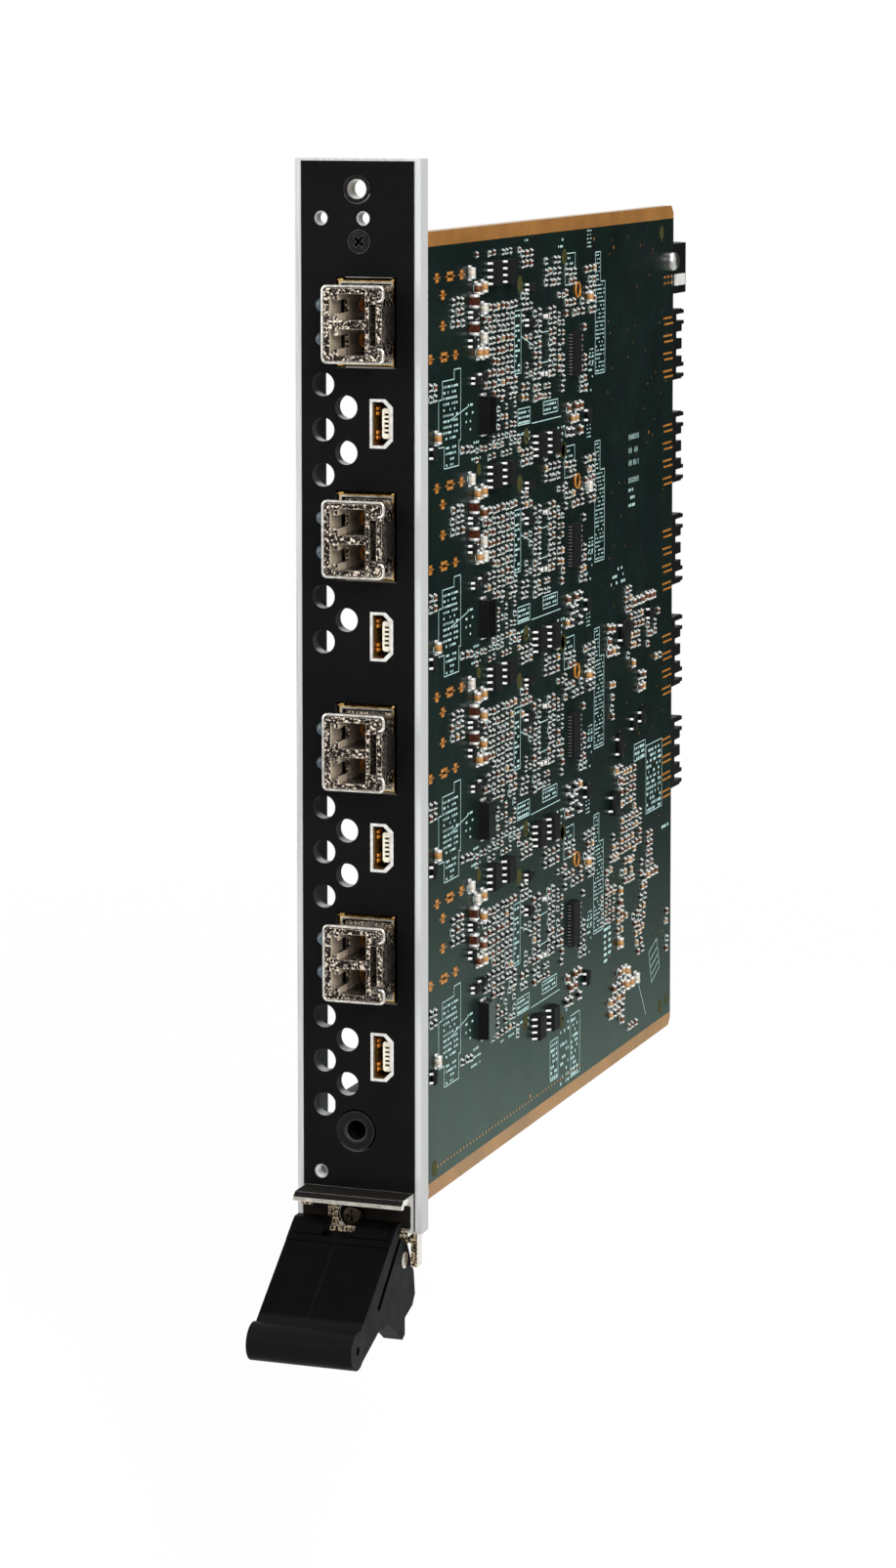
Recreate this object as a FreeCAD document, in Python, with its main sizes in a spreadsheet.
import FreeCAD, Part
import os
import Sketcher

# Fiber input board: a plug-in card with four optical transceivers behind a narrow front panel.
# X runs across the panel, Y from the panel's front face to the back, Z up.
# The origin is the centre of the top fixing hole, on the panel's metal front face.

doc = FreeCAD.newDocument("fiber_input_board")
sheet = doc.addObject("Spreadsheet::Sheet", "sizes")
PORTS = range(4)
BACKPLANE_SOCKETS = range(5)


class Size:
    """A rule made of sheet cells: its text binds a property, its value sets out the first lines."""

    def __init__(self, text, value):
        self.text = text
        self.value = value

    def __add__(self, other):
        return joined(self, "+", other, lambda a, b: a + b)

    def __radd__(self, other):
        return joined(other, "+", self, lambda a, b: a + b)

    def __sub__(self, other):
        return joined(self, "-", other, lambda a, b: a - b)

    def __rsub__(self, other):
        return joined(other, "-", self, lambda a, b: a - b)

    def __mul__(self, other):
        return joined(self, "*", other, lambda a, b: a * b)

    def __rmul__(self, other):
        return joined(other, "*", self, lambda a, b: a * b)

    def __truediv__(self, other):
        return joined(self, "/", other, lambda a, b: a / b)

    def __neg__(self):
        return joined(0, "-", self, lambda a, b: a - b)


def rule(amount):
    """Give a plain number the same form as a rule."""
    return amount if isinstance(amount, Size) else Size(repr(float(amount)), float(amount))


def joined(first, sign, second, reckon):
    """Join two rules by one arithmetic sign."""
    first, second = rule(first), rule(second)
    return Size(f"({first.text} {sign} {second.text})", reckon(first.value, second.value))


def size(alias, millimetres, note):
    """Write one driving dimension into the next row of the sheet."""
    size.row = getattr(size, "row", 0) + 1
    sheet.set(f"A{size.row}", note)
    sheet.set(f"B{size.row}", str(millimetres))
    sheet.setAlias(f"B{size.row}", alias)
    return Size(f"sizes.{alias}", float(millimetres))


# Front panel and its black overlay
panel_width = size("panel_width", 23.8, "front panel, across")
panel_height = size("panel_height", 193.1, "front panel, top to bottom")
plate_thick = size("plate_thick", 2.5, "front plate")
flange_depth = size("flange_depth", 12.0, "left flange, from the front face to its back edge")
flange_wall = size("flange_wall", 1.2, "left flange, wall")
flange_drop = size("flange_drop", 14.0, "left flange's top end below the panel's top edge")
rim_depth = size("rim_depth", 3.7, "right rim, from the front face to its back edge")
rim_wall = size("rim_wall", 1.3, "right rim, wall")
film_thick = size("film_thick", 0.2, "overlay film")
film_side = size("film_side", 1.2, "bare metal beside the overlay")
film_end = size("film_end", 0.45, "bare metal above and below the overlay")
hole_drop = size("hole_drop", 5.4, "top fixing hole below the panel's top edge")
bush_ring = size("bush_ring", 5.4, "collar of the fixing bush, diameter")
bush_bore = size("bush_bore", 3.5, "bore of the fixing bush")
bush_proud = size("bush_proud", 0.3, "collar of the fixing bush ahead of the overlay")
bush_flange = size("bush_flange", 7.6, "rear flange of the fixing bush, diameter")
bush_flange_thick = size("bush_flange_thick", 0.8, "rear flange of the fixing bush")
pair_spacing = size("pair_spacing", 8.0, "pair of small holes, centre to centre")
pair_x = size("pair_x", -2.9, "pair of small holes, middle")
pair_drop = size("pair_drop", 10.6, "pair of small holes below the top edge")
pair_hole = size("pair_hole", 2.2, "pair of small holes, diameter")
film_back = size("film_back", 0.2, "bare metal left round the small holes")
guide_hole = size("guide_hole", 2.2, "lower small hole, diameter")
guide_hole_x = size("guide_hole_x", -7.3, "lower small hole, across")
guide_hole_rise = size("guide_hole_rise", 10.0, "lower small hole above the bottom edge")
vent_hole = size("vent_hole", 4.3, "vent holes, diameter")
vent_step = size("vent_step", 8.1, "vent holes, up and down")
vent_left = size("vent_left", -6.6, "left column of vent holes, across")
vent_right = size("vent_right", -2.2, "right column of vent holes, across")
vent_below_port = size("vent_below_port", 11.1, "first vent hole below its port's centre")
fit_gap = size("fit_gap", 0.05, "close fit, each side")
free_gap = size("free_gap", 0.25, "free fit, each side")

# Circuit board
board_face = size("board_face", 9.1, "right face of the board, across")
board_thick = size("board_thick", 2.4, "circuit board")
board_top_drop = size("board_top_drop", 13.3, "board's top edge below the panel's top edge")
board_low_rise = size("board_low_rise", 3.3, "board's bottom edge above the panel's bottom edge")
board_front = size("board_front", 4.0, "board's front edge behind the panel's face")
board_depth = size("board_depth", 160.5, "board, front to back")
board_corner = size("board_corner", 1.5, "bevel at the board's rear corners")

# Holders that join the board to the panel, and their screws
holder_height = size("holder_height", 8.0, "holder, top to bottom")
holder_width = size("holder_width", 10.4, "holder, across")
holder_foot = size("holder_foot", 3.5, "holder's foot on the panel")
holder_leg = size("holder_leg", 3.0, "holder's leg on the board")
holder_depth = size("holder_depth", 8.0, "holder, front to back")
holder_screw_x = size("holder_screw_x", 0.3, "panel screw, across")
upper_screw_drop = size("upper_screw_drop", 14.7, "upper panel screw below the top edge")
lower_screw_rise = size("lower_screw_rise", 3.1, "bracket screw above the panel's bottom edge")
screw_shank = size("screw_shank", 2.4, "panel screws, shank")
flat_head = size("flat_head", 4.2, "countersunk head, diameter")
pan_head = size("pan_head", 3.6, "pan head, diameter")
pan_head_high = size("pan_head_high", 1.2, "pan head, height")
board_screw_y = size("board_screw_y", 6.6, "board screws behind the panel's face")
cross_slot = size("cross_slot", 0.6, "cross recess, width of a slot")
cross_reach = size("cross_reach", 2.2, "cross recess, length of a slot")

# Transceiver ports
port_pitch = size("port_pitch", 38.1, "ports, centre to centre")
port_drop = size("port_drop", 29.1, "first port below the panel's top edge")
port_stand = size("port_stand", 5.2, "ports' centre left of the board's left face")
port_gap_left = size("port_gap_left", 1.1, "panel opening, left of the cage")
port_gap_right = size("port_gap_right", 0.7, "panel opening, right of the cage")
port_gap_end = size("port_gap_end", 0.8, "panel opening, above and below the cage")
cage_high = size("cage_high", 10.0, "cage, height above the board")
cage_wide = size("cage_wide", 14.6, "cage, across its two modules' walls")
cage_long = size("cage_long", 48.3, "cage, front to back")
cage_front = size("cage_front", 0.3, "cage, ahead of the panel's metal face")
cage_wall = size("cage_wall", 0.3, "cage sheet")
cage_hole = size("cage_hole", 2.0, "cage vent holes, diameter")
cage_hole_step = size("cage_hole_step", 4.4, "cage vent holes, spacing")
spring_long = size("spring_long", 4.2, "spring collar, front to back")
spring_wide = size("spring_wide", 1.9, "spring finger, width")
spring_step = size("spring_step", 2.6, "spring fingers, spacing")
spring_sheet = size("spring_sheet", 0.2, "spring collar sheet")
module_high = size("module_high", 8.5, "transceiver inside the cage, height")
module_wide = size("module_wide", 13.5, "transceiver inside the cage, width")
module_long = size("module_long", 40.0, "transceiver behind the panel's metal face")
nose_reach = size("nose_reach", 6.5, "transceiver nose ahead of the panel's metal face")
nose_back = size("nose_back", 0.9, "back of the nose ahead of the panel's metal face")
nose_wide = size("nose_wide", 10.9, "nose casting, across the panel")
nose_high = size("nose_high", 12.8, "nose casting, up and down")
nose_bevel = size("nose_bevel", 0.6, "nose casting, bevel of its long edges")
nose_shift = size("nose_shift", -0.05, "nose casting, across from the port's centre")
lens_pitch = size("lens_pitch", 6.25, "two optical sockets, centre to centre")
lens_wide = size("lens_wide", 5.2, "optical socket, across the panel")
lens_high = size("lens_high", 4.7, "optical socket, up and down")
lens_deep = size("lens_deep", 12.0, "optical socket, depth")
lens_shift = size("lens_shift", -0.25, "optical sockets, across from the port's centre")
catch_reach = size("catch_reach", 1.5, "plug catch recess beside each socket")
catch_high = size("catch_high", 2.4, "plug catch recess, up and down")
joint_deep = size("joint_deep", 4.6, "joint line in the socket's wall, depth")
joint_wide = size("joint_wide", 0.3, "joint line in the socket's wall, width")
catch_slot = size("catch_slot", 0.7, "plug catch cross slot, across")
catch_slot_high = size("catch_slot_high", 4.2, "plug catch cross slot, up and down")
window_wide = size("window_wide", 1.3, "latch window, across")
window_high = size("window_high", 7.4, "latch window, up and down")
window_x = size("window_x", 3.75, "latch window, across from the port's centre")
window_deep = size("window_deep", 4.0, "latch window, depth")
barrel = size("barrel", 2.9, "optical barrel, diameter")
barrel_bore = size("barrel_bore", 1.3, "optical barrel, bore")
barrel_sunk = size("barrel_sunk", 1.0, "optical barrel, front end behind the panel's metal face")
wire = size("wire", 0.55, "bail wire, diameter")
bail_corner = size("bail_corner", 0.8, "bail, bend at the wire's middle line")
bail_proud = size("bail_proud", 0.2, "bail's pivot line beyond the nose's right side")
bail_tip_z = size("bail_tip_z", 4.2, "bail's tips above and below the port's centre")
bail_tip = size("bail_tip", 1.0, "bail, bent-in tip")
latch_thick = size("latch_thick", 0.4, "latch plate")
latch_high = size("latch_high", 6.4, "latch plate, up and down")
card_thick = size("card_thick", 1.0, "transceiver's edge card")
card_wide = size("card_wide", 9.2, "transceiver's edge card, width")
card_long = size("card_long", 11.0, "transceiver's edge card, length")
card_proud = size("card_proud", 5.0, "transceiver's edge card behind its casting")
host_high = size("host_high", 5.4, "host connector, height above the board")
host_wide = size("host_wide", 11.6, "host connector, width")
host_long = size("host_long", 6.0, "host connector, front to back")

# Light pipes
pipe_off = size("pipe_off", 3.4, "light pipes' middle from the cage's outer side")
pipe_spacing = size("pipe_spacing", 6.1, "light pipes of a port, centre to centre")
pipe_rod = size("pipe_rod", 2.6, "light pipe, diameter")
pipe_proud = size("pipe_proud", 1.1, "light pipe ahead of the panel's metal face")
pipe_run = size("pipe_run", 54.0, "light pipe, behind the panel's metal face")
pipe_bend = size("pipe_bend", 3.0, "light pipe, bend at its middle line")
saddle_y = size("saddle_y", 20.0, "light pipe saddle behind the panel's metal face")
saddle_long = size("saddle_long", 4.0, "light pipe saddle, front to back")
lamp_high = size("lamp_high", 1.1, "indicator lamp, height above the board")
lamp_side = size("lamp_side", 2.0, "indicator lamp, side")

# Small data sockets and the round jack
data_below_port = size("data_below_port", 17.9, "data socket below its port's centre")
data_high = size("data_high", 8.8, "data socket shell, up and down")
data_wide = size("data_wide", 4.4, "data socket shell, height above the board")
data_bevel = size("data_bevel", 1.4, "data socket shell, bevel")
data_wall = size("data_wall", 0.5, "data socket shell, wall")
data_deep = size("data_deep", 9.0, "data socket shell, front to back")
tongue_thick = size("tongue_thick", 1.6, "data socket tongue")
tongue_high = size("tongue_high", 5.4, "data socket tongue, up and down")
tongue_bevel = size("tongue_bevel", 0.3, "data socket tongue, bevel of its long edges")
tongue_x = size("tongue_x", 0.6, "data socket tongue, across from the shell's middle")
insert_back = size("insert_back", 3.0, "data socket insert, solid back")
contact_step = size("contact_step", 0.8, "contact cells in the tongue, centre to centre")
contact_high = size("contact_high", 0.44, "contact cell, up and down")
contact_wide = size("contact_wide", 0.9, "contact cell, across")
contact_deep = size("contact_deep", 2.0, "contact cell, depth")
jack_rise = size("jack_rise", 18.0, "round jack above the panel's bottom edge")
jack_x = size("jack_x", -0.6, "round jack, across")
jack_hole = size("jack_hole", 7.8, "panel hole of the round jack")
jack_nozzle = size("jack_nozzle", 7.0, "nozzle of the round jack, diameter")
jack_bore = size("jack_bore", 3.6, "bore of the round jack")
jack_high = size("jack_high", 10.4, "round jack body, up and down")
jack_wide = size("jack_wide", 12.4, "round jack body, height above the board")
jack_deep = size("jack_deep", 12.0, "round jack body, front to back")
contact_wall = size("contact_wall", 0.3, "round jack contact sleeve, wall")

# Ejector bracket, in heights above the panel's bottom edge
eject_x = size("eject_x", -0.3, "ejector's middle, across")
bracket_wide = size("bracket_wide", 20.9, "bracket, across")
bracket_shift = size("bracket_shift", 0.45, "bracket's ledge, across from the ejector's middle")
ledge_top = size("ledge_top", 7.4, "top ledge, height")
ledge_reach = size("ledge_reach", 6.6, "top ledge ahead of the panel")
ledge_thick = size("ledge_thick", 1.0, "top ledge")
lip_drop = size("lip_drop", 1.6, "lip's tip below the ledge's top")
web_front = size("web_front", 1.8, "bracket web ahead of the panel")
shelf_reach = size("shelf_reach", 3.5, "lower shelf ahead of the panel")
shelf_top = size("shelf_top", 1.25, "lower shelf, height")
shelf_low = size("shelf_low", 0.3, "lower shelf, underside")
bar_wide = size("bar_wide", 22.4, "bar under the panel, across")
bar_front = size("bar_front", 0.65, "bar under the panel, front behind the panel's face")
bar_back = size("bar_back", 3.0, "bar under the panel, back behind the panel's face")
bar_gap = size("bar_gap", 0.2, "bar under the panel, gap to the panel's bottom edge")
bar_low = size("bar_low", 2.0, "bar under the panel, underside below the panel")
ear_low = size("ear_low", 6.3, "bracket ears, tip below the panel")
ear_thick = size("ear_thick", 1.25, "bracket ears, across")
lug_wide = size("lug_wide", 11.8, "pivot lug, across")
lug_radius = size("lug_radius", 2.9, "pivot lug, round end")
lug_front = size("lug_front", 1.5, "pivot lug's neck ahead of the pin")
boss_proud = size("boss_proud", 1.0, "raised pad round the bracket screw")
boss_wide = size("boss_wide", 4.6, "raised pad, across from the screw")
boss_bore = size("boss_bore", 5.6, "clearance round the bracket screw's head")

# Ejector handle, measured from its pin
pin_y = size("pin_y", -2.3, "pin, from the panel's metal face")
pin_drop = size("pin_drop", 4.3, "pin below the panel's bottom edge")
pin = size("pin", 3.0, "pin, diameter")
handle_wide = size("handle_wide", 19.8, "handle, across")
cheek_thick = size("cheek_thick", 3.6, "handle cheek")
pad_reach = size("pad_reach", 3.7, "latch plate's top ahead of the pin")
pad_back = size("pad_back", 1.7, "back of the latch plate's top ahead of the pin")
pad_rise = size("pad_rise", 7.3, "latch plate's top above the pin")
pad_proud = size("pad_proud", 0.45, "latch pads ahead of the latch plate")
pad_bevel = size("pad_bevel", 0.8, "bevel at the latch pads' top, up and down")
pad_tall = size("pad_tall", 2.0, "latch pads, up and down")
pad_inset = size("pad_inset", 0.9, "latch pads, inset from the latch plate's sides")
step_proud = size("step_proud", 0.18, "shallow step below the latch pads")
step_tall = size("step_tall", 3.1, "shallow step's edge below the latch plate's top")
pad_gap = size("pad_gap", 5.8, "gap between the latch pads")
pad_gap_x = size("pad_gap_x", -0.6, "gap between the latch pads, across")
pad_gap_deep = size("pad_gap_deep", 2.3, "gap between the latch pads, depth")
roll_reach = size("roll_reach", 23.7, "finger roll ahead of the pin")
roll_drop = size("roll_drop", 10.0, "finger roll below the pin")
roll = size("roll", 6.8, "finger roll, diameter")
roll_hole = size("roll_hole", 1.6, "finger roll, end hole")
roll_hole_deep = size("roll_hole_deep", 4.0, "finger roll, depth of the end hole")
plate_foot = size("plate_foot", 2.0, "latch plate's foot above the roll's centre")
slot_wide = size("slot_wide", 0.9, "slot behind the latch plate")
slot_reach = size("slot_reach", 13.6, "slot's end ahead of the pin")
slot_drop = size("slot_drop", 5.5, "slot's end below the pin")
slot_top_reach = size("slot_top_reach", 0.4, "slot's mouth ahead of the pin")
slot_top_rise = size("slot_top_rise", 6.4, "slot's mouth above the pin")
cheek_rise = size("cheek_rise", 4.1, "cheek's top above the pin")
shoulder_back = size("shoulder_back", 1.2, "cheek's shoulder behind the pin")
shoulder_rise = size("shoulder_rise", 2.9, "cheek's shoulder above the pin")
flank_back = size("flank_back", 4.7, "cheek's flank behind the pin")
flank_drop = size("flank_drop", 3.4, "cheek's flank below the pin")
heel_back = size("heel_back", 5.3, "cheek's heel behind the pin")
heel_drop = size("heel_drop", 7.6, "cheek's heel below the pin")
belly_drop = size("belly_drop", 9.3, "lever's underside below the pin")
belly_front = size("belly_front", 13.0, "lever's underside, front end ahead of the pin")
claw_root = size("claw_root", 8.7, "claw's root ahead of the pin")
claw_tip = size("claw_tip", 1.3, "claw's tip ahead of the pin")
claw_drop = size("claw_drop", 14.3, "claw's tip below the pin")

# Backplane sockets and the guide block
socket_pitch = size("socket_pitch", 22.0, "backplane sockets, centre to centre")
socket_drop = size("socket_drop", 43.0, "first backplane socket below the panel's top edge")
socket_long = size("socket_long", 15.0, "backplane socket, up and down")
socket_high = size("socket_high", 10.5, "backplane socket, height above the board")
socket_on_board = size("socket_on_board", 12.0, "backplane socket, length on the board")
socket_reach = size("socket_reach", 6.5, "backplane socket behind the board")
wafer_pitch = size("wafer_pitch", 3.77, "contact wafers, centre to centre")
wafer_slot = size("wafer_slot", 1.5, "contact wafer slot")
wafer_deep = size("wafer_deep", 4.0, "contact wafer slot, depth")
prong_proud = size("prong_proud", 1.5, "guide prongs behind the socket's face")
prong_thick = size("prong_thick", 0.8, "guide prongs, up and down")
block_drop = size("block_drop", 26.8, "guide block's centre below the panel's top edge")
block_long = size("block_long", 10.6, "guide block, up and down")
block_high = size("block_high", 11.0, "guide block, height above the board")
block_reach = size("block_reach", 11.5, "guide block behind the board")
block_on_board = size("block_on_board", 9.0, "guide block, length on the board")
block_bore = size("block_bore", 4.8, "guide block's pin bore")
block_bore_deep = size("block_bore_deep", 9.0, "guide block's pin bore, depth")
dome_head = size("dome_head", 4.0, "guide block screw's domed head, diameter")
dome_high = size("dome_high", 1.7, "guide block screw's domed head, height")
dome_shank = size("dome_shank", 2.0, "guide block screw's shank")
dome_inset = size("dome_inset", 2.3, "guide block screw ahead of the board's rear edge")
dome_drop = size("dome_drop", 25.1, "guide block screw below the panel's top edge")
key_high = size("key_high", 2.4, "key, up and down")
key_long = size("key_long", 6.4, "key, front to back")
key_proud = size("key_proud", 0.5, "key, beyond the guide block")
key_drop = size("key_drop", 29.2, "key below the panel's top edge")
key_inset = size("key_inset", 0.8, "key behind the board's rear edge")

# Larger parts soldered on the board
chip_long = size("chip_long", 4.9, "small chip, up and down")
chip_wide = size("chip_wide", 3.9, "small chip, front to back")
chip_high = size("chip_high", 1.5, "small chip, height")
bus_chip_long = size("bus_chip_long", 9.0, "bus chip, up and down")
bus_chip_wide = size("bus_chip_wide", 4.6, "bus chip, front to back")
bus_chip_high = size("bus_chip_high", 1.1, "bus chip, height")
coil_long = size("coil_long", 7.3, "power coil, up and down")
coil_wide = size("coil_wide", 4.0, "power coil, front to back")
coil_high = size("coil_high", 2.0, "power coil, height")
cap_long = size("cap_long", 2.4, "brown capacitor, up and down")
cap_wide = size("cap_wide", 1.4, "brown capacitor, front to back")
cap_high = size("cap_high", 1.5, "brown capacitor, height")
receiver_side = size("receiver_side", 15.0, "receiver chip, side")
receiver_high = size("receiver_high", 1.6, "receiver chip, height")
processor_side = size("processor_side", 23.0, "processor chip, side")
processor_high = size("processor_high", 2.4, "processor chip, height")
doc.recompute()

# Places worked out from the sizes
panel_top = hole_drop
panel_bottom = hole_drop - panel_height
film_front = -film_thick
board_left = board_face - board_thick
board_rear = board_front + board_depth
board_top = hole_drop - board_top_drop
port_x = board_left - port_stand
board_bottom = panel_bottom + board_low_rise
port_z = [hole_drop - port_drop - port_pitch * n for n in PORTS]
cage_right = board_left - port_x
cage_left = cage_right - cage_high
nose_left = nose_shift - nose_wide / 2
nose_right = nose_shift + nose_wide / 2
lens_left = lens_shift - lens_wide / 2
pipe_x = port_x + cage_left - pipe_off
lamp_y = pipe_run
eject_pin_z = panel_bottom - pin_drop

nodes = []
NORMAL = {"XY_Plane": 1, "YZ_Plane": 1, "XZ_Plane": -1}


def keep(piece, label):
    """Name a finished piece and put it on the list of pieces to write."""
    piece.Label = label
    nodes.append(piece)
    return piece


def bind(piece, name, amount):
    piece.setExpression(name, rule(amount).text)


def place(piece, x=0, y=0, z=0):
    for axis, amount in zip("xyz", (x, y, z)):
        bind(piece, f"Placement.Base.{axis}", amount)


def new_body(label, x=0, y=0, z=0):
    body = doc.addObject("PartDesign::Body", label)
    place(body, x, y, z)
    return keep(body, label)


def draw(body, plane, at=0):
    """Start a sketch on one of the body's own planes, moved along the world axis by at."""
    drawing = body.newObject("Sketcher::SketchObject", f"{body.Name}_sketch")
    drawing.AttachmentSupport = (next(f for f in body.Origin.OriginFeatures if f.Role == plane), [""])
    drawing.MapMode = "FlatFace"
    bind(drawing, "AttachmentOffset.Base.z", rule(at) * NORMAL[plane])
    drawing.addProperty("App::PropertyString", "Plane")
    drawing.Plane = plane
    return drawing


def fix_point(drawing, line, end, x, y):
    """Hold one end of a line at two rules from the sketch's origin."""
    for kind, amount in (("DistanceX", rule(x)), ("DistanceY", rule(y))):
        number = drawing.addConstraint(Sketcher.Constraint(kind, -1, 1, line, end, amount.value))
        bind(drawing, f"Constraints[{number}]", amount)


def spot(x, y):
    return FreeCAD.Vector(rule(x).value, rule(y).value, 0)


def outline(drawing, points):
    """Draw a closed outline with its corners at the given pairs of rules."""
    first = drawing.GeometryCount
    ends = points[1:] + points[:1]
    drawing.addGeometry([Part.LineSegment(spot(*a), spot(*b)) for a, b in zip(points, ends)])
    count = len(points)
    drawing.addConstraint([Sketcher.Constraint("Coincident", first + n, 2, first + (n + 1) % count, 1)
                           for n in range(count)])
    for n, (x, y) in enumerate(points):
        fix_point(drawing, first + n, 1, x, y)


def rectangle(drawing, left, right, low, high):
    outline(drawing, [(left, low), (right, low), (right, high), (left, high)])


def circle(drawing, x, y, diameter):
    number = drawing.addGeometry(Part.Circle(spot(x, y), FreeCAD.Vector(0, 0, 1), rule(diameter).value / 2))
    fix_point(drawing, number, 3, x, y)
    limit = drawing.addConstraint(Sketcher.Constraint("Diameter", number, rule(diameter).value))
    bind(drawing, f"Constraints[{limit}]", diameter)


def bent_path(drawing, points, radius):
    """Draw an open path of straight runs along the sketch's axes, with a round bend at each corner."""
    starts, stops = [points[0]], []
    for corner, after in zip(points[1:-1], points[2:]):
        before = points[points.index(corner) - 1]
        stops.append(toward(corner, before, radius))
        starts.append(toward(corner, after, radius))
    stops.append(points[-1])
    for n, (start, stop) in enumerate(zip(starts, stops)):
        line = drawing.addGeometry(Part.LineSegment(spot(*start), spot(*stop)))
        fix_point(drawing, line, 1, *start)
        fix_point(drawing, line, 2, *stop)
    for n, corner in enumerate(points[1:-1]):
        enter, leave = spot(*stops[n]), spot(*starts[n + 1])
        middle = enter + leave - spot(*corner)
        waist = middle + (spot(*corner) - middle).normalize() * rule(radius).value
        bend = drawing.addGeometry(Part.Arc(enter, waist, leave))
        flip = drawing.getPoint(bend, 1).distanceToPoint(enter) > drawing.getPoint(bend, 2).distanceToPoint(enter)
        near, far = (2, 1) if flip else (1, 2)
        drawing.addConstraint(Sketcher.Constraint("Coincident", bend, near, n, 2))
        drawing.addConstraint(Sketcher.Constraint("Coincident", bend, far, n + 1, 1))
        limit = drawing.addConstraint(Sketcher.Constraint("Radius", bend, rule(radius).value))
        bind(drawing, f"Constraints[{limit}]", radius)


def toward(corner, other, distance):
    """Step from a corner towards a point that lies on the same row or column."""
    step = []
    for here, there in zip(corner, other):
        gap = rule(there).value - rule(here).value
        step.append(here + distance * ((gap > 1e-9) - (gap < -1e-9)))
    return tuple(step)


def extrude(body, kind, drawing, length, side):
    """Pad or pocket a sketch towards the plus side, the minus side or both sides of its plane."""
    feature = body.newObject(f"PartDesign::{kind}", f"{body.Name}_{kind.lower()}")
    feature.Profile = drawing
    bind(feature, "Length", length)
    if side == "both":
        feature.SideType = "Symmetric"
    else:
        natural = NORMAL[drawing.Plane] * (1 if kind == "Pad" else -1)
        feature.Reversed = natural != (1 if side == "+" else -1)
    return feature


def pad(body, drawing, length, side="+"):
    return extrude(body, "Pad", drawing, length, side)


def pocket(body, drawing, length, side="+"):
    return extrude(body, "Pocket", drawing, length, side)


def slab(body, plane, at, length, left, right, low, high, side="+"):
    """Pad one rectangle."""
    drawing = draw(body, plane, at)
    rectangle(drawing, left, right, low, high)
    return pad(body, drawing, length, side)


def notch(body, plane, at, length, left, right, low, high, side="+"):
    """Pocket one rectangle."""
    drawing = draw(body, plane, at)
    rectangle(drawing, left, right, low, high)
    return pocket(body, drawing, length, side)


def drill(body, plane, at, length, holes, side="+"):
    """Pocket round holes given as across, up and diameter."""
    drawing = draw(body, plane, at)
    for hole in holes:
        circle(drawing, *hole)
    return pocket(body, drawing, length, side)


def rod(body, plane, at, length, x, y, diameter, side="+"):
    """Pad one round."""
    drawing = draw(body, plane, at)
    circle(drawing, x, y, diameter)
    return pad(body, drawing, length, side)


def round_edges(shape, y, diameter):
    """Name the round edges of a diameter that lie at one distance along Y."""
    return [f"Edge{number}" for number, edge in enumerate(shape.Edges, start=1)
            if isinstance(edge.Curve, Part.Circle)
            and abs(2 * edge.Curve.Radius - rule(diameter).value) < 1e-6
            and abs(edge.Curve.Center.y - rule(y).value) < 1e-6]


def ease(body, kind, amount, edges):
    """Fillet or chamfer named edges of the body's last feature."""
    base = body.Tip
    feature = body.newObject(f"PartDesign::{kind}", f"{body.Name}_{kind.lower()}")
    feature.Base = (base, edges)
    bind(feature, "Radius" if kind == "Fillet" else "Size", amount)
    return feature


def block(label, x, y, z, along_x, along_y, along_z):
    """Make a box from its lowest corner and its three sides."""
    box = doc.addObject("Part::Box", label)
    for name, amount in zip(("Length", "Width", "Height"), (along_x, along_y, along_z)):
        bind(box, name, amount)
    place(box, x, y, z)
    return box


def moulding(label, x, y, z, along_x, along_y, along_z, draft):
    """Make a moulded chip body on the right face: its sides draw in by draft towards its top."""
    chip = doc.addObject("Part::Wedge", label)
    limits = {"Xmin": 0, "Ymin": 0, "Zmin": 0, "Xmax": along_z, "Ymax": along_x, "Zmax": along_y,
              "X2min": draft, "Z2min": draft, "X2max": along_z - draft, "Z2max": along_y - draft}
    for name, amount in limits.items():
        bind(chip, name, amount)
    chip.Placement.Rotation = FreeCAD.Rotation(FreeCAD.Vector(1, 1, 1), -120)
    place(chip, x, y, z)
    return chip


def cylinder_along_y(label, x, y, z, diameter, length):
    round_bar = doc.addObject("Part::Cylinder", label)
    bind(round_bar, "Radius", rule(diameter) / 2)
    bind(round_bar, "Height", length)
    round_bar.Placement.Rotation = FreeCAD.Rotation(FreeCAD.Vector(1, 0, 0), -90)
    place(round_bar, x, y, z)
    return round_bar


def less(label, base, tool):
    result = doc.addObject("Part::Cut", label)
    result.Base = base
    result.Tool = tool
    return result


def group(label, pieces):
    """Put like pieces into one node, each still a solid of its own."""
    compound = doc.addObject("Part::Compound", label)
    compound.Links = pieces
    return keep(compound, label)


def data_outline(drawing, margin):
    """Outline of a data socket's shell: a flat left side and two bevelled corners on the right."""
    half_wide = data_wide / 2 + margin
    half_high = data_high / 2 + margin
    outline(drawing, [(-half_wide, -half_high), (half_wide - data_bevel, -half_high),
                      (half_wide, data_bevel - half_high), (half_wide, half_high - data_bevel),
                      (half_wide - data_bevel, half_high), (-half_wide, half_high)])


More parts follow.
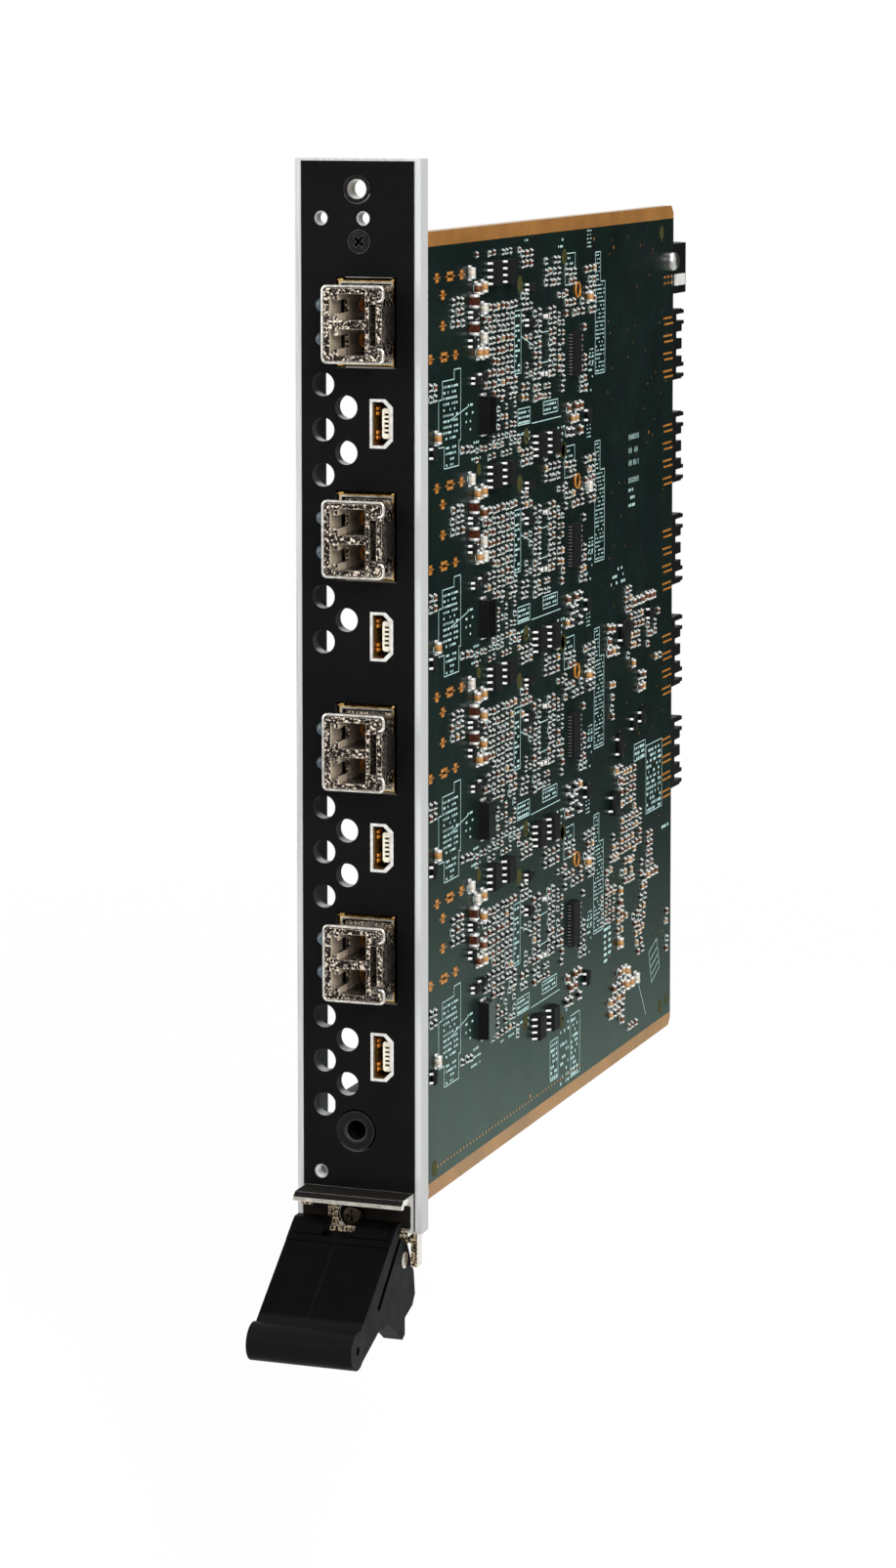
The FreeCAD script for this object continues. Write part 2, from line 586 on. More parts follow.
def panel_openings(body, y, depth, margin):
    """Cut the openings that the panel and its overlay share, the small holes wider by a margin."""
    holes = [(0, 0, bush_ring),
             (pair_x - pair_spacing / 2, hole_drop - pair_drop, pair_hole + margin * 2),
             (pair_x + pair_spacing / 2, hole_drop - pair_drop, pair_hole + margin * 2),
             (guide_hole_x, panel_bottom + guide_hole_rise, guide_hole + margin * 2),
             (jack_x, panel_bottom + jack_rise, jack_hole)]
    for number, z in enumerate(port_z):
        holes += [(pipe_x, z - pipe_spacing / 2, pipe_rod + free_gap * 2),
                  (pipe_x, z + pipe_spacing / 2, pipe_rod + free_gap * 2)]
        top_vent = z - vent_below_port
        holes += [(vent_left, top_vent, vent_hole), (vent_left, top_vent - vent_step, vent_hole),
                  (vent_right, top_vent - vent_step / 2, vent_hole)]
        if number != 1:
            holes += [(vent_left, top_vent - vent_step * 2, vent_hole),
                      (vent_right, top_vent - vent_step * 1.5, vent_hole)]
    drill(body, "XZ_Plane", y, depth, holes)
    windows = draw(body, "XZ_Plane", y)
    for z in port_z:
        half = cage_wide / 2 + port_gap_end
        rectangle(windows, port_x + cage_left - port_gap_left, port_x + cage_right + port_gap_right,
                  z - half, z + half)
    pocket(body, windows, depth)
    sockets = draw(body, "XZ_Plane", y)
    middle = board_left - data_wide / 2
    half_wide = data_wide / 2 + fit_gap
    half_high = data_high / 2 + fit_gap
    for z in port_z:
        level = z - data_below_port
        outline(sockets, [(middle - half_wide, level - half_high),
                          (middle + half_wide - data_bevel, level - half_high),
                          (middle + half_wide, level - half_high + data_bevel),
                          (middle + half_wide, level + half_high - data_bevel),
                          (middle + half_wide - data_bevel, level + half_high),
                          (middle - half_wide, level + half_high)])
    pocket(body, sockets, depth)


def front_panel():
    """Aluminium extrusion: front plate, deep left flange, short right rim."""
    body = new_body("front_panel")
    section = draw(body, "XY_Plane", panel_bottom)
    left, right = -panel_width / 2, panel_width / 2
    outline(section, [(left, 0), (right, 0), (right, rim_depth), (right - rim_wall, rim_depth),
                      (right - rim_wall, plate_thick), (left + flange_wall, plate_thick),
                      (left + flange_wall, flange_depth), (left, flange_depth)])
    pad(body, section, panel_height)
    notch(body, "XZ_Plane", plate_thick, flange_depth - plate_thick, left, left + flange_wall,
          panel_top - flange_drop, panel_top)
    panel_openings(body, 0, plate_thick, 0)
    shank_hole = screw_shank + fit_gap * 2
    drill(body, "XZ_Plane", 0, plate_thick,
          [(holder_screw_x, hole_drop - upper_screw_drop, shank_hole),
           (eject_x, panel_bottom + lower_screw_rise, shank_hole)])
    doc.recompute()
    level = (hole_drop - upper_screw_drop).value
    upper = [name for name in round_edges(body.Tip.Shape, 0, shank_hole)
             if abs(body.Tip.Shape.getElement(name).Curve.Center.z - level) < 1e-6]
    ease(body, "Chamfer", (flat_head - shank_hole) / 2, upper)


def front_overlay():
    """Black film on the panel's front, short of its edges."""
    body = new_body("front_overlay")
    half = panel_width / 2 - film_side
    slab(body, "XZ_Plane", film_front, film_thick, -half, half, panel_bottom + film_end, panel_top - film_end)
    panel_openings(body, film_front, film_thick, film_back)
    drill(body, "XZ_Plane", film_front, film_thick,
          [(holder_screw_x, hole_drop - upper_screw_drop, flat_head + fit_gap * 2),
           (eject_x, panel_bottom + lower_screw_rise, screw_shank + fit_gap * 2)])


def mounting_bush():
    """Collar in the top fixing hole, flanged behind the panel."""
    body = new_body("mounting_bush")
    rim = film_front - bush_proud
    collar = bush_ring - fit_gap * 2
    rod(body, "XZ_Plane", rim, plate_thick - rim, 0, 0, collar)
    rod(body, "XZ_Plane", plate_thick, bush_flange_thick, 0, 0, bush_flange)
    drill(body, "XZ_Plane", rim, plate_thick + bush_flange_thick - rim, [(0, 0, bush_bore)])
    doc.recompute()
    shape = body.Tip.Shape
    ease(body, "Fillet", bush_proud, round_edges(shape, rim, collar) + round_edges(shape, rim, bush_bore))


def holder(label, screw_x, screw_z, low, board_screw_z):
    """Cast angle that screws to the back of the panel and to the board's left face."""
    body = new_body(label)
    section = draw(body, "XY_Plane", low)
    left, back = board_left - holder_width, plate_thick + holder_depth
    outline(section, [(left, plate_thick), (board_left, plate_thick), (board_left, back),
                      (board_left - holder_leg, back), (board_left - holder_leg, plate_thick + holder_foot),
                      (left, plate_thick + holder_foot)])
    pad(body, section, holder_height)
    drill(body, "XZ_Plane", plate_thick, holder_foot, [(screw_x, screw_z, screw_shank + fit_gap * 2)])
    drill(body, "YZ_Plane", board_left, holder_leg,
          [(board_screw_y, board_screw_z, screw_shank + fit_gap * 2)], "-")
    return body


def cross_recess(body, y, depth):
    """Sink the two crossed slots of a screwdriver recess into a head that faces the front."""
    half, reach = cross_slot / 2, cross_reach / 2
    notch(body, "XZ_Plane", y, depth, -reach, reach, -half, half)
    notch(body, "XZ_Plane", y, depth, -half, half, -reach, reach)


def upper_holder_screw():
    """Black countersunk screw, flush with the overlay."""
    body = new_body("upper_holder_screw", holder_screw_x, 0, hole_drop - upper_screw_drop)
    body.Placement.Rotation = FreeCAD.Rotation(FreeCAD.Vector(0, 1, 0), 40)
    rod(body, "XZ_Plane", film_front, film_thick + plate_thick + holder_foot, 0, 0, screw_shank)
    head = draw(body, "XY_Plane")
    sink = (flat_head - screw_shank) / 2
    outline(head, [(0, film_front), (flat_head / 2, film_front), (flat_head / 2, 0),
                   (screw_shank / 2, sink), (0, sink)])
    turned = body.newObject("PartDesign::Revolution", "upper_holder_screw_head")
    turned.Profile = head
    turned.ReferenceAxis = (head, ["V_Axis"])
    turned.Angle = 360
    cross_recess(body, film_front, sink)


def bracket_screw():
    """Pan-head screw through the bracket and the panel into the lower holder."""
    body = new_body("bracket_screw", eject_x, 0, panel_bottom + lower_screw_rise)
    seat = film_front - web_front + film_thick
    rod(body, "XZ_Plane", seat, plate_thick + holder_foot - seat, 0, 0, screw_shank)
    rod(body, "XZ_Plane", seat, pan_head_high, 0, 0, pan_head, "-")
    doc.recompute()
    ease(body, "Fillet", pan_head_high * 0.4, round_edges(body.Tip.Shape, seat - pan_head_high, pan_head))
    cross_recess(body, seat - pan_head_high, pan_head_high * 0.6)


def board_screw(label, z):
    """Pan-head screw through the board into a holder's leg."""
    body = doc.addObject("PartDesign::Body", label)
    place(body, board_face, board_screw_y, z)
    rod(body, "YZ_Plane", 0, board_thick + holder_leg, 0, 0, screw_shank, "-")
    rod(body, "YZ_Plane", 0, pan_head_high, 0, 0, pan_head)
    half, reach = cross_slot / 2, cross_reach / 2
    notch(body, "YZ_Plane", pan_head_high, pan_head_high * 0.6, -reach, reach, -half, half, "-")
    notch(body, "YZ_Plane", pan_head_high, pan_head_high * 0.6, -half, half, -reach, reach, "-")
    return body


def circuit_board():
    """Laminate card with bevelled rear corners and the holes of its screws."""
    body = new_body("circuit_board")
    drawing = draw(body, "YZ_Plane", board_left)
    outline(drawing, [(board_front, board_bottom), (board_rear - board_corner, board_bottom),
                      (board_rear, board_bottom + board_corner), (board_rear, board_top - board_corner),
                      (board_rear - board_corner, board_top), (board_front, board_top)])
    pad(body, drawing, board_thick)
    shank_hole = screw_shank + fit_gap * 2
    drill(body, "YZ_Plane", board_face, board_thick,
          [(board_screw_y, upper_board_screw_z, shank_hole), (board_screw_y, lower_board_screw_z, shank_hole),
           (board_rear - dome_inset, hole_drop - dome_drop, dome_shank + fit_gap * 2)], "-")


def sfp_cage(number):
    """Folded sheet cage on the board, open at the front and under its rear end."""
    body = new_body(f"sfp_cage_{number + 1}", port_x, 0, port_z[number])
    half = cage_wide / 2
    slab(body, "XZ_Plane", -cage_front, cage_long, cage_left, cage_right, -half, half)
    notch(body, "XZ_Plane", -cage_front, cage_long - cage_wall, cage_left + cage_wall, cage_right - cage_wall,
          cage_wall - half, half - cage_wall)
    notch(body, "YZ_Plane", cage_right, cage_wall, module_long - card_proud, cage_long - cage_front - cage_wall,
          cage_wall - half, half - cage_wall, "-")
    rows = [(cage_hole_step * (column + 2), cage_hole_step * row, cage_hole)
            for column in range(7) for row in (-1, 0, 1) if column != 2 or row == 0]
    drill(body, "YZ_Plane", cage_left, cage_wall, rows)


def cage_collar(number):
    """Spring-finger collar that fills the gap between a cage and its panel opening."""
    body = new_body(f"cage_collar_{number + 1}", port_x, 0, port_z[number])
    half = cage_wide / 2
    slab(body, "XZ_Plane", -cage_front, spring_long, cage_left - spring_sheet, cage_right + spring_sheet,
         -half - spring_sheet, half + spring_sheet)
    notch(body, "XZ_Plane", -cage_front, spring_long, cage_left, cage_right, -half, half)
    rise = port_gap_end - free_gap / 2
    for side in (-1, 1):
        bump = draw(body, "YZ_Plane", cage_left / 2 + cage_right / 2)
        outline(bump, [(0, side * (half + spring_sheet / 2)), (plate_thick / 2, side * (half + rise)),
                       (plate_thick, side * (half + spring_sheet / 2))])
        pad(body, bump, cage_high * 0.9, "both")
    for root, tip in ((cage_left - spring_sheet / 2, cage_left - port_gap_left + free_gap / 2),
                      (cage_right + spring_sheet / 2, cage_right + port_gap_right - free_gap / 2)):
        for step in (-2, -1, 0, 1, 2):
            bump = draw(body, "XY_Plane", spring_step * step)
            outline(bump, [(root, 0), (tip, plate_thick / 2), (root, plate_thick)])
            pad(body, bump, spring_wide, "both")


def sfp_body(number):
    """Cast transceiver housing: a slim tail in the cage and a nose with two optical sockets."""
    body = new_body(f"sfp_body_{number + 1}", port_x, 0, port_z[number])
    floor = cage_right - cage_wall
    slab(body, "XZ_Plane", -nose_back, module_long + nose_back, floor - module_high, floor,
         -module_wide / 2, module_wide / 2)
    nose = draw(body, "XZ_Plane", -nose_reach)
    top, bevel = nose_high / 2, nose_bevel
    outline(nose, [(nose_left + bevel, -top), (nose_right - bevel, -top), (nose_right, bevel - top),
                   (nose_right, top - bevel), (nose_right - bevel, top), (nose_left + bevel, top),
                   (nose_left, top - bevel), (nose_left, bevel - top)])
    pad(body, nose, nose_reach - nose_back)
    room = wire / 2 + fit_gap
    for side in (-1, 1):
        tip = bail_tip_z * side
        notch(body, "XZ_Plane", -nose_reach, room * 2 + fit_gap, bail_pivot_x - room, nose_right,
              tip, top * side)
        notch(body, "XZ_Plane", -nose_reach, room * 2 + fit_gap, bail_pivot_x - bail_tip - room, nose_right,
              tip - room * 2 * side, tip + room * 2 * side)
    sockets = draw(body, "XZ_Plane", -nose_reach)
    catches = draw(body, "XZ_Plane", -nose_reach)
    slots = draw(body, "XZ_Plane", -nose_reach)
    for side in (-1, 1):
        middle = lens_pitch / 2 * side
        rectangle(sockets, lens_left, lens_left + lens_wide, middle - lens_high / 2, middle + lens_high / 2)
        rectangle(catches, lens_left - catch_reach, lens_left + fit_gap, middle - catch_high / 2,
                  middle + catch_high / 2)
        rectangle(slots, lens_left - catch_reach, lens_left - catch_reach + catch_slot,
                  middle - catch_slot_high / 2, middle + catch_slot_high / 2)
    pocket(body, sockets, lens_deep)
    pocket(body, catches, nose_reach - nose_back)
    for side in (-1, 1):
        middle = lens_pitch / 2 * side
        notch(body, "XZ_Plane", joint_deep - nose_reach, joint_wide, lens_left - joint_wide, lens_left + fit_gap,
              middle - lens_high / 2, middle + lens_high / 2)
    pocket(body, slots, lens_deep / 2)
    notch(body, "XZ_Plane", -nose_reach, window_deep, window_x - window_wide / 2, window_x + window_wide / 2,
          -window_high / 2, window_high / 2)
    card_low = card_x - card_thick / 2
    notch(body, "XZ_Plane", module_long, card_long - card_proud, card_low, card_low + card_thick,
          -card_wide / 2, card_wide / 2, "-")


def sfp_bail(number):
    """Wire bail that frames the nose: its straight ends turn on a line along Z, its tips work the latch."""
    body = new_body(f"sfp_bail_{number + 1}", port_x + bail_pivot_x, bail_y, port_z[number])
    left = nose_left - wire / 2 - fit_gap - bail_pivot_x
    level = nose_high / 2 + wire / 2 + fit_gap
    path = draw(body, "XZ_Plane")
    bent_path(path, [(-bail_tip, -bail_tip_z), (0, -bail_tip_z), (0, -level), (left, -level),
                     (left, level), (0, level), (0, bail_tip_z), (-bail_tip, bail_tip_z)], bail_corner)
    section = draw(body, "YZ_Plane", -bail_tip)
    circle(section, 0, -bail_tip_z, wire)
    swept = body.newObject("PartDesign::AdditivePipe", f"sfp_bail_{number + 1}_wire")
    swept.Profile = section
    swept.Spine = (path, [f"Edge{n + 1}" for n in range(path.GeometryCount)])


def latch_plate(number):
    """Sheet latch on the nose's right side."""
    return block(f"latch_plate_{number}", port_x + nose_right, wire * 2 - nose_reach,
                 port_z[number] - latch_high / 2, latch_thick, nose_reach - nose_back - wire * 2, latch_high)


def optical_barrels(number):
    """Two bored barrels at the back of a transceiver's sockets."""
    pieces = []
    for side in (-1, 1):
        x = port_x + lens_shift
        z = port_z[number] + lens_pitch / 2 * side
        length = lens_deep - nose_reach - barrel_sunk
        solid = cylinder_along_y("barrel_solid", x, barrel_sunk, z, barrel, length)
        hole = cylinder_along_y("barrel_hole", x, barrel_sunk, z, barrel_bore, length - 1)
        pieces.append(less(f"barrel_{number}", solid, hole))
    return pieces


def edge_card(number):
    """Contact card of a transceiver, let into its casting and into the host connector."""
    return block(f"edge_card_{number}", port_x + card_x - card_thick / 2,
                 module_long + card_proud - card_long, port_z[number] - card_wide / 2,
                 card_thick, card_long, card_wide)


def host_connector(number):
    """Surface-mount socket on the board that takes a transceiver's edge card."""
    y = module_long + card_proud / 4
    outer = block("host_outer", board_left - host_high, y, port_z[number] - host_wide / 2,
                  host_high, host_long, host_wide)
    mouth = block("host_mouth", port_x + card_x - card_thick / 2, y, port_z[number] - card_wide / 2,
                  card_thick, module_long + card_proud - y, card_wide)
    return less(f"host_{number}", outer, mouth)


def light_pipe(number):
    """Clear twin moulding: two domed rods over the cage, bent down to the lamps, on one saddle."""
    body = new_body(f"light_pipe_{number + 1}", pipe_x, 0, port_z[number])
    drop = board_left - lamp_high - pipe_x
    for side in (-1, 1):
        level = pipe_spacing / 2 * side
        path = draw(body, "XY_Plane", level)
        bent_path(path, [(0, -pipe_proud), (0, lamp_y), (drop, lamp_y)], pipe_bend)
        section = draw(body, "XZ_Plane", -pipe_proud)
        circle(section, 0, level, pipe_rod)
        swept = body.newObject("PartDesign::AdditivePipe", f"light_pipe_{number + 1}_rod")
        swept.Profile = section
        swept.Spine = (path, [f"Edge{n + 1}" for n in range(path.GeometryCount)])
        if side == -1:
            slab(body, "XZ_Plane", saddle_y, saddle_long, -pipe_rod / 4, port_x + cage_left - pipe_x,
                 -pipe_spacing / 2, pipe_spacing / 2)
    doc.recompute()
    ease(body, "Fillet", pipe_rod * 0.4, round_edges(body.Tip.Shape, -pipe_proud, pipe_rod))


def data_shell(number):
    """Folded shell of a small data socket, closed at its back."""
    body = new_body(f"data_shell_{number + 1}", board_left - data_wide / 2, film_front,
                    port_z[number] - data_below_port)
    outer = draw(body, "XZ_Plane")
    data_outline(outer, 0)
    pad(body, outer, data_deep)
    inner = draw(body, "XZ_Plane")
    data_outline(inner, -data_wall)
    pocket(body, inner, data_deep - data_wall)


def data_insert(number):
    """Moulded insert of a small data socket: a solid back that carries the contact tongue."""
    body = doc.addObject("PartDesign::Body", f"data_insert_{number + 1}")
    place(body, board_left - data_wide / 2, film_front, port_z[number] - data_below_port)
    back = draw(body, "XZ_Plane", data_deep - data_wall - insert_back)
    data_outline(back, -data_wall)
    pad(body, back, insert_back)
    tongue = draw(body, "XZ_Plane", data_wall * 2)
    left, right = tongue_x - tongue_thick / 2, tongue_x + tongue_thick / 2
    top, bevel = tongue_high / 2, tongue_bevel
    outline(tongue, [(left + bevel, -top), (right - bevel, -top), (right, bevel - top), (right, top - bevel),
                     (right - bevel, top), (left + bevel, top), (left, top - bevel), (left, bevel - top)])
    pad(body, tongue, data_deep - data_wall * 3)
    cells = draw(body, "XZ_Plane", data_wall * 2)
    for step in (-2, -1, 0, 1, 2):
        rectangle(cells, tongue_x - contact_wide / 2, tongue_x + contact_wide / 2,
                  contact_step * step - contact_high / 2, contact_step * step + contact_high / 2)
    pocket(body, cells, contact_deep)
    return body


def jack_body():
    """Black moulded jack on the board, its nozzle in the panel's round hole."""
    body = new_body("jack_body", jack_x, 0, panel_bottom + jack_rise)
    right = board_left - jack_x
    behind = plate_thick + free_gap
    slab(body, "XZ_Plane", behind, jack_deep, right - jack_wide, right, -jack_high / 2, jack_high / 2)
    rod(body, "XZ_Plane", film_front, behind - film_front, 0, 0, jack_nozzle)
    drill(body, "XZ_Plane", film_front, jack_deep, [(0, 0, jack_bore)])
    drill(body, "XZ_Plane", behind, jack_deep - behind, [(0, 0, jack_bore + contact_wall * 2)])
    doc.recompute()
    ease(body, "Chamfer", film_thick * 2, round_edges(body.Tip.Shape, film_front, jack_bore))


def jack_contact():
    """Contact sleeve inside the jack."""
    start = plate_thick + free_gap
    length = jack_deep - start + film_front
    z = panel_bottom + jack_rise
    solid = cylinder_along_y("jack_contact_solid", jack_x, start, z, jack_bore + contact_wall * 2, length)
    hole = cylinder_along_y("jack_contact_hole", jack_x, start, z, jack_bore, length)
    keep(less("jack_contact", solid, hole), "jack_contact")


def ejector_bracket():
    """Nickelled casting: hooked ledge, web and shelf on the panel, lug and eared bar under it."""
    body = new_body("ejector_bracket", eject_x, 0, panel_bottom)
    hook = draw(body, "YZ_Plane", bracket_shift)
    under = ledge_top - ledge_thick
    outline(hook, [(film_front, ledge_top), (ledge_thick - ledge_reach, ledge_top),
                   (-ledge_reach, ledge_top - ledge_thick * 0.8), (-ledge_reach, ledge_top - lip_drop * 0.9),
                   (ledge_thick - ledge_reach, ledge_top - lip_drop),
                   (ledge_thick * 1.1 - ledge_reach, under), (-web_front, under), (-web_front, shelf_top),
                   (-shelf_reach, shelf_top), (-shelf_reach, shelf_low), (film_front, shelf_low)])
    pad(body, hook, bracket_wide, "both")
    lug = draw(body, "YZ_Plane")
    outline(lug, [(pin_y - lug_radius, -pin_drop), (pin_y - lug_front, -bar_low),
                  (pin_y - lug_front, shelf_low), (-shelf_reach, shelf_top), (film_front, shelf_top),
                  (film_front, -bar_gap),
                  (bar_back, -bar_gap), (bar_back, -bar_low), (pin_y + lug_radius, -bar_low),
                  (pin_y + lug_radius, -pin_drop)])
    pad(body, lug, lug_wide, "both")
    rod(body, "YZ_Plane", 0, lug_wide, pin_y, -pin_drop, lug_radius * 2, "both")
    slab(body, "YZ_Plane", 0, bar_wide, bar_front, bar_back, -bar_low, -bar_gap, "both")
    for side, way in ((-1, "+"), (1, "-")):
        slab(body, "YZ_Plane", bar_wide / 2 * side, ear_thick, bar_front, bar_back, -ear_low, -bar_gap, way)
    slab(body, "XZ_Plane", -web_front, boss_proud, -boss_wide, 0, shelf_top, under, "-")
    left = bracket_shift - bracket_wide / 2
    slab(body, "XZ_Plane", -web_front, boss_proud, left, left + boss_wide / 2, under - ledge_thick * 2, under, "-")
    drill(body, "XZ_Plane", -web_front, boss_proud, [(0, lower_screw_rise, boss_bore)], "-")
    drill(body, "XZ_Plane", -web_front, web_front, [(0, lower_screw_rise, screw_shank + fit_gap * 2)])
    drill(body, "YZ_Plane", 0, lug_wide, [(pin_y, -pin_drop, pin)], "both")


def handle_pin():
    """Steel pin pressed into the lug, running in both cheeks, flush at its ends."""
    body = new_body("handle_pin", eject_x, pin_y, eject_pin_z)
    rod(body, "YZ_Plane", 0, handle_wide, 0, 0, pin, "both")


def ejector_handle():
    """Moulded lever: springy latch plate, finger roll, two cheeks on the pin, a claw on each cheek."""
    body = new_body("ejector_handle", eject_x, pin_y, eject_pin_z)
    side_view = draw(body, "YZ_Plane")
    outline(side_view, [(-pad_reach, pad_rise), (-roll_reach, plate_foot - roll_drop),
                        (-roll_reach, -roll_drop - roll / 2), (-belly_front, -belly_drop),
                        (-claw_root, -belly_drop), (-claw_tip, -claw_drop), (0, -claw_drop + claw_tip / 2),
                        (0, -belly_drop - claw_tip), (heel_back - claw_tip, -belly_drop),
                        (heel_back, -heel_drop), (flank_back, -flank_drop),
                        (shoulder_back, shoulder_rise), (-pad_back, cheek_rise), (-pad_back, pad_rise)])
    pad(body, side_view, handle_wide, "both")
    rod(body, "YZ_Plane", 0, handle_wide, -roll_reach, -roll_drop, roll, "both")
    slot = draw(body, "YZ_Plane")
    half = slot_wide / 2
    outline(slot, [(-slot_top_reach - half, slot_top_rise + half), (half - slot_top_reach, slot_top_rise - half),
                   (half - slot_reach, -slot_drop - half), (-slot_reach - half, half - slot_drop)])
    pocket(body, slot, handle_wide, "both")
    hollow = draw(body, "YZ_Plane")
    room = lug_radius + free_gap * 2
    spare = heel_back * 2
    outline(hollow, [(-room, -room), (-slot_top_reach * 2 - room, 0), (-slot_top_reach - room, cheek_rise / 2),
                     (-slot_top_reach, slot_top_rise), (spare, slot_top_rise), (spare, -belly_drop),
                     (room, -belly_drop), (room, -room)])
    inside = handle_wide - cheek_thick * 2
    pocket(body, hollow, inside, "both")
    notch(body, "YZ_Plane", 0, inside, -claw_root, spare, -claw_drop, -belly_drop, "both")
    lean = (roll_reach - pad_reach) / (pad_rise - plate_foot + roll_drop)
    for proud, tall, inset in ((pad_proud, pad_tall, pad_inset), (step_proud, step_tall, 0)):
        raised = draw(body, "YZ_Plane")
        outline(raised, [(-pad_reach, pad_rise), (-pad_reach - pad_bevel * lean - proud, pad_rise - pad_bevel),
                         (-pad_reach - tall * lean - proud, pad_rise - tall),
                         (-pad_reach - tall * lean, pad_rise - tall - proud)])
        pad(body, raised, handle_wide - inset * 2, "both")
    gap_left, gap_right = pad_gap_x - pad_gap / 2, pad_gap_x + pad_gap / 2
    notch(body, "XZ_Plane", -pad_reach * 2, pad_reach * 2, gap_left, gap_right, pad_rise - pad_gap_deep, pad_rise)
    drill(body, "YZ_Plane", 0, handle_wide, [(0, 0, pin + fit_gap * 2)], "both")
    for side, way in ((-1, "+"), (1, "-")):
        drill(body, "YZ_Plane", handle_wide / 2 * side, roll_hole_deep, [(-roll_reach, -roll_drop, roll_hole)], way)


def backplane_socket(number):
    """Right-angle receptacle on the board's rear edge: four contact slots and guide prongs."""
    body = new_body(f"backplane_socket_{number + 1}", board_left, board_rear,
                    hole_drop - socket_drop - socket_pitch * number)
    section = draw(body, "XY_Plane")
    outline(section, [(0, -socket_on_board), (-socket_high * 0.75, -socket_on_board),
                      (-socket_high, -socket_on_board * 0.6), (-socket_high, socket_reach),
                      (board_thick, socket_reach), (board_thick, fit_gap), (0, fit_gap)])
    pad(body, section, socket_long, "both")
    for step in (-1.5, -0.5, 0.5, 1.5):
        level = wafer_pitch * step
        notch(body, "YZ_Plane", board_thick, socket_high + board_thick - prong_thick, socket_reach - wafer_deep,
              socket_reach, level - wafer_slot / 2, level + wafer_slot / 2, "-")
    for step in (-1.5, 1.5):
        for side in (-1, 1):
            level = wafer_pitch * step + (wafer_slot + prong_thick) / 2 * side
            slab(body, "YZ_Plane", board_thick, socket_high + board_thick, socket_reach - prong_proud,
                 socket_reach + prong_proud, level - prong_thick / 2, level + prong_thick / 2, "-")


def guide_block():
    """Guide block at the top of the rear edge, bored for the backplane's guide pin."""
    body = new_body("guide_block", board_left, board_rear, hole_drop - block_drop)
    section = draw(body, "XY_Plane")
    lead = block_reach * 0.2
    outline(section, [(0, -block_on_board), (-block_high, -block_on_board), (-block_high, block_reach - lead),
                      (lead - block_high, block_reach), (board_thick - lead, block_reach),
                      (board_thick, block_reach - lead), (board_thick, fit_gap), (0, fit_gap)])
    pad(body, section, block_long, "both")
    drill(body, "XZ_Plane", block_reach, block_bore_deep, [(-block_high / 2, 0, block_bore)], "-")
    drill(body, "YZ_Plane", 0, block_high / 2,
          [(-dome_inset, block_drop - dome_drop, dome_shank + fit_gap * 2)], "-")


def guide_screw():
    """Dome-headed screw through the board into the guide block."""
    body = new_body("guide_screw", board_face, board_rear - dome_inset, hole_drop - dome_drop)
    rod(body, "YZ_Plane", 0, board_thick + block_high / 2, 0, 0, dome_shank, "-")
    rod(body, "YZ_Plane", 0, dome_high, 0, 0, dome_head)
    doc.recompute()
    shape = body.Tip.Shape
    crown = [f"Edge{n}" for n, edge in enumerate(shape.Edges, start=1)
             if isinstance(edge.Curve, Part.Circle) and edge.Curve.Center.x > dome_high.value / 2]
    ease(body, "Fillet", dome_high * 0.8, crown)


def on_right_face(label, y, z, high, wide, long, draft):
    """Stand a moulded chip on the board's right face, centred at y and z."""
    return moulding(label, board_face, y - wide / 2, z - long / 2, high, wide, long, draft)


def on_left_face(label, y, z, high, side):
    return block(label, board_left - high, y - side / 2, z - side / 2, high, side, side)


upper_holder_low = hole_drop - pair_drop - pair_hole / 2 - free_gap - holder_height
upper_board_screw_z = upper_holder_low + pan_head
lower_holder_low = panel_bottom + lower_screw_rise - holder_height / 3
lower_board_screw_z = lower_holder_low + holder_height - pan_head * 0.75
card_x = cage_right - cage_wall - module_high * 0.4
bail_pivot_x = nose_right + bail_proud
bail_y = -nose_reach + wire / 2 + fit_gap

front_panel()
front_overlay()
mounting_bush()
holder("upper_holder", holder_screw_x, hole_drop - upper_screw_drop, upper_holder_low, upper_board_screw_z)
holder("lower_holder", eject_x, panel_bottom + lower_screw_rise, lower_holder_low, lower_board_screw_z)
upper_holder_screw()
bracket_screw()
group("board_screws", [board_screw("board_screw_upper", upper_board_screw_z),
                       board_screw("board_screw_lower", lower_board_screw_z)])
circuit_board()
for port in PORTS:
    sfp_cage(port)
    cage_collar(port)
    sfp_body(port)
    sfp_bail(port)
    light_pipe(port)
    data_shell(port)
group("latch_plates", [latch_plate(port) for port in PORTS])
group("optical_barrels", [piece for port in PORTS for piece in optical_barrels(port)])
group("edge_cards", [edge_card(port) for port in PORTS])
group("host_connectors", [host_connector(port) for port in PORTS])
group("data_inserts", [data_insert(port) for port in PORTS])
group("indicator_lamps", [on_left_face(f"lamp_{port}", lamp_y, port_z[port] + pipe_spacing / 2 * side,
                                       lamp_high, lamp_side) for port in PORTS for side in (-1, 1)])
jack_body()
jack_contact()
ejector_bracket()
handle_pin()
ejector_handle()
for socket in BACKPLANE_SOCKETS:
    backplane_socket(socket)
guide_block()
guide_screw()
keep(block("key_block", board_face, board_rear + key_inset, hole_drop - key_drop - key_high / 2,
           key_proud, key_long, key_high), "key_block")

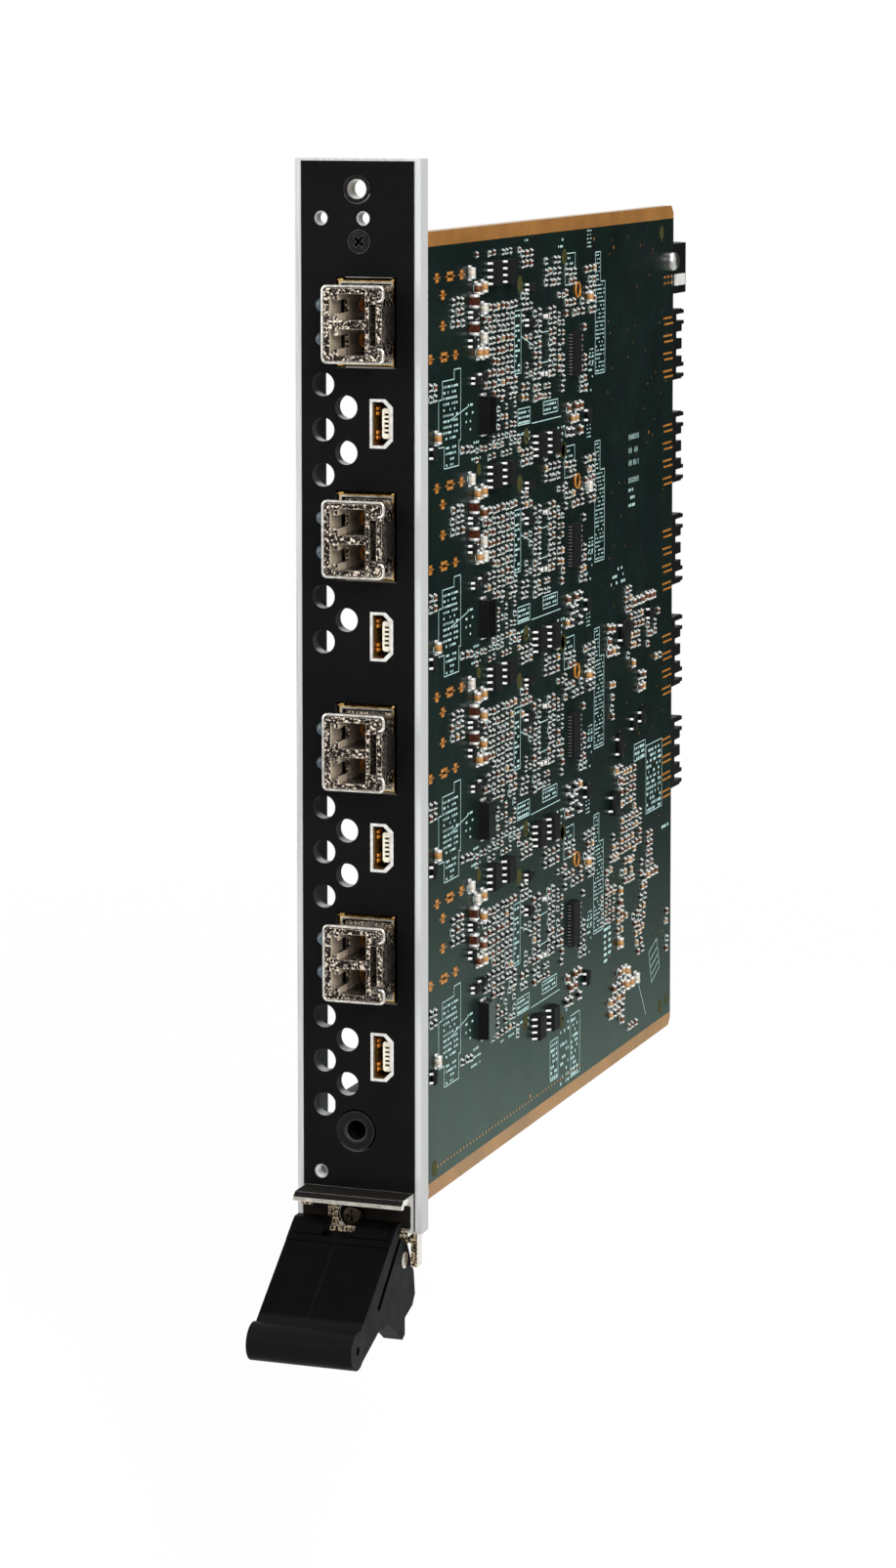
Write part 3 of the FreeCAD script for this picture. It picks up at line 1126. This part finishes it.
# Places of the larger soldered parts, from the front face and below each port's centre;
# the processor's are from the board's rear edge and below the panel's top edge
CHIP_PLACES = ((46.8, -6.8), (55.1, -6.8), (73.7, 27.7), (82.2, 27.7))
BUS_CHIP_PLACE = (96.0, 11.4)
COIL_PLACE = (41.3, 19.3)
CAP_PLACES = ((34.5, -2.2), (34.5, 2.8))
RECEIVER_PLACE = (78.6, 5.4)
PROCESSOR_PLACE = (26.5, 139.0)
DRAFT = 0.2

group("small_chips", [on_right_face(f"chip_{port}", y, port_z[port] - below, chip_high, chip_wide, chip_long, DRAFT)
                      for port in PORTS for y, below in CHIP_PLACES])
group("bus_chips", [on_right_face(f"bus_chip_{port}", BUS_CHIP_PLACE[0], port_z[port] - BUS_CHIP_PLACE[1],
                                  bus_chip_high, bus_chip_wide, bus_chip_long, DRAFT) for port in PORTS])
group("power_coils", [on_right_face(f"coil_{port}", COIL_PLACE[0], port_z[port] - COIL_PLACE[1],
                                    coil_high, coil_wide, coil_long, DRAFT) for port in PORTS])
group("brown_capacitors", [on_right_face(f"cap_{port}", y, port_z[port] - below, cap_high, cap_wide, cap_long, 0)
                           for port in PORTS for y, below in CAP_PLACES])
group("receiver_chips", [on_left_face(f"receiver_{port}", RECEIVER_PLACE[0], port_z[port] - RECEIVER_PLACE[1],
                                      receiver_high, receiver_side) for port in PORTS])
keep(on_left_face("processor_chip", board_rear - PROCESSOR_PLACE[0], hole_drop - PROCESSOR_PLACE[1],
                  processor_high, processor_side), "processor_chip")

doc.recompute()
faults = [f"{item.Label}: {item.State}" for item in doc.Objects
          if "Invalid" in item.State or "Error" in item.State]
for item in doc.Objects:
    if item.TypeId == "PartDesign::Pocket" and item.Shape.Volume >= item.BaseFeature.Shape.Volume - 1e-6:
        faults.append(f"{item.Label}: cuts nothing")
for piece in nodes:
    if piece.Shape.isNull() or not piece.Shape.isValid() or not piece.Shape.Solids:
        faults.append(f"{piece.Label}: no valid solid")
if faults:
    raise RuntimeError("; ".join(faults))

os.makedirs("parts", exist_ok=True)
for piece in nodes:
    piece.Shape.exportStep(f"parts/{piece.Label}.step")
print(len(nodes), "pieces written")
